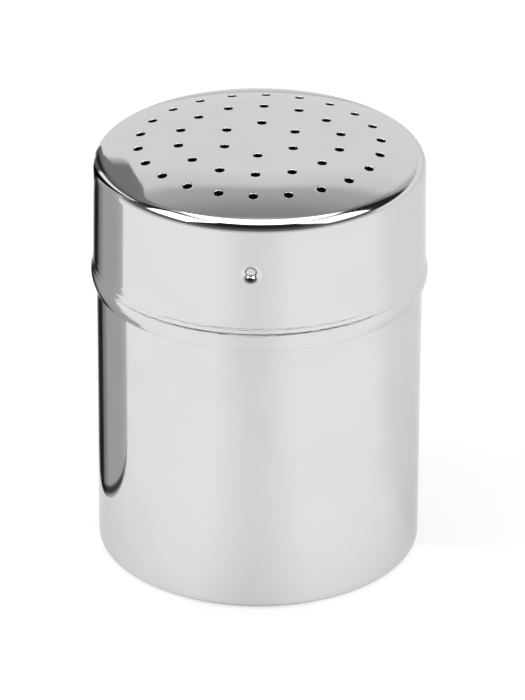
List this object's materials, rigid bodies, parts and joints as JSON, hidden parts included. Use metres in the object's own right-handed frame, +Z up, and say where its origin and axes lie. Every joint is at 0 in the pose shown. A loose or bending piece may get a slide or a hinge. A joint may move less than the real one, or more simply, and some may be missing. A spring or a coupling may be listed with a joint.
{
  "type": "spice shaker",
  "caption": "Cylindrical polished steel spice shaker with a crowned, perforated bayonet lid that lifts off for filling.",
  "frame": {"origin": "on the table, on the axis of the container", "axes": "+Z up along the container's axis; the two nibs of the lid lie on the Y axis, and the view from the front looks along +Y"},
  "size_m": [0.0722, 0.0722, 0.0947],
  "materials": {
    "container_steel": "stainless steel, mirror polished outside, with fine wiping marks",
    "lid_steel": "stainless steel, mirror polished outside, with fine wiping marks"
  },
  "bodies": {
    "container": {"container": "container_steel"},
    "lid": {"lid": "lid_steel"}
  },
  "joints": [
    {"name": "lid_lift", "type": "slide", "parent": "container", "child": "lid", "axis": [0, 0, 1], "range_m": [0, 0.06]}
  ]
}
